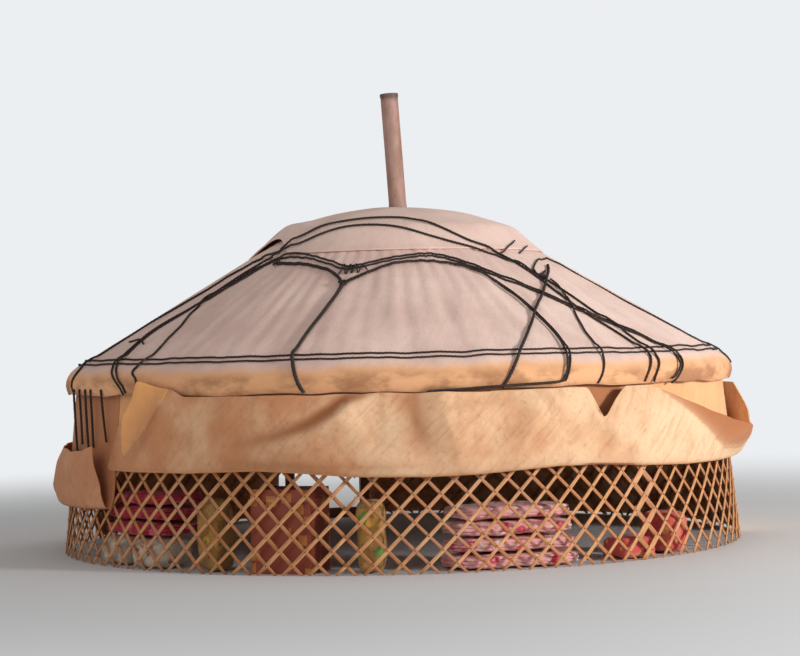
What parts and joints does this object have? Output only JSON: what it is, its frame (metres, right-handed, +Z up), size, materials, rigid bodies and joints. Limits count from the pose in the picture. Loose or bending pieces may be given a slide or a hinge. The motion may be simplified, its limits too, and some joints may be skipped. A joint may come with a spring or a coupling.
{
  "type": "yurt",
  "caption": "Round felt yurt on a folding lattice wall, with the wall felt rolled up, roof poles and crown under a felt cap, tie ropes and a stovepipe.",
  "frame": {"origin": "centre of the ground plan, at the level the yurt stands on", "axes": "+Z up; -Y is the side that faces the picture's camera; +X is to the right in the picture"},
  "size_m": [6.2194, 6.1581, 4.0795],
  "materials": {
    "lath_wood": "weathered, unpainted",
    "pole_wood": "weathered, unpainted",
    "crown_wood": "weathered, unpainted",
    "door_wood": "weathered, unpainted",
    "chest_wood": "weathered, unpainted",
    "wall_felt": "matte, worn",
    "roof_felt": "matte, worn",
    "cap_felt": "matte, worn",
    "curtain_felt": "matte, worn",
    "rope": "matte, worn",
    "red_quilt": "matte, worn",
    "pink_quilt": "matte, worn",
    "sack_cloth": "matte, worn",
    "bundle_cloth": "matte, worn",
    "rusty_iron": "rusty sheet iron"
  },
  "bodies": {
    "root": {"lattice_section_1": "lath_wood", "lattice_section_2": "lath_wood", "lattice_section_3": "lath_wood", "lattice_section_4": "lath_wood", "lattice_section_5": "lath_wood", "lattice_section_6": "lath_wood", "lattice_section_7": "lath_wood", "wall_felt_back_left": "wall_felt", "wall_felt_left": "wall_felt", "wall_felt_front_left": "wall_felt", "wall_felt_front_right": "wall_felt", "wall_felt_right": "wall_felt", "wall_felt_back_right": "wall_felt", "wall_felt_back": "wall_felt", "roof_felt_1": "roof_felt", "roof_felt_2": "roof_felt", "roof_felt_3": "roof_felt", "roof_felt_4": "roof_felt", "roof_felt_5": "roof_felt", "roof_felt_6": "roof_felt", "roof_felt_7": "roof_felt", "roof_felt_8": "roof_felt", "roof_poles_back_left": "pole_wood", "roof_poles_front_left": "pole_wood", "roof_poles_front_right": "pole_wood", "roof_poles_back_right": "pole_wood", "crown_rim": "crown_wood", "crown_spokes": "crown_wood", "crown_cover": "cap_felt", "crown_flap": "cap_felt", "chimney_pipe": "rusty_iron", "pipe_collar": "rusty_iron", "door_posts": "door_wood", "door_lintel_and_threshold": "door_wood", "door_curtain": "curtain_felt", "eave_ropes": "rope", "tie_ropes": "rope", "left_bedding": "red_quilt", "right_bedding": "pink_quilt", "grain_sacks": "sack_cloth", "small_bundles": "bundle_cloth", "storage_chest": "chest_wood"}
  },
  "joints": []
}
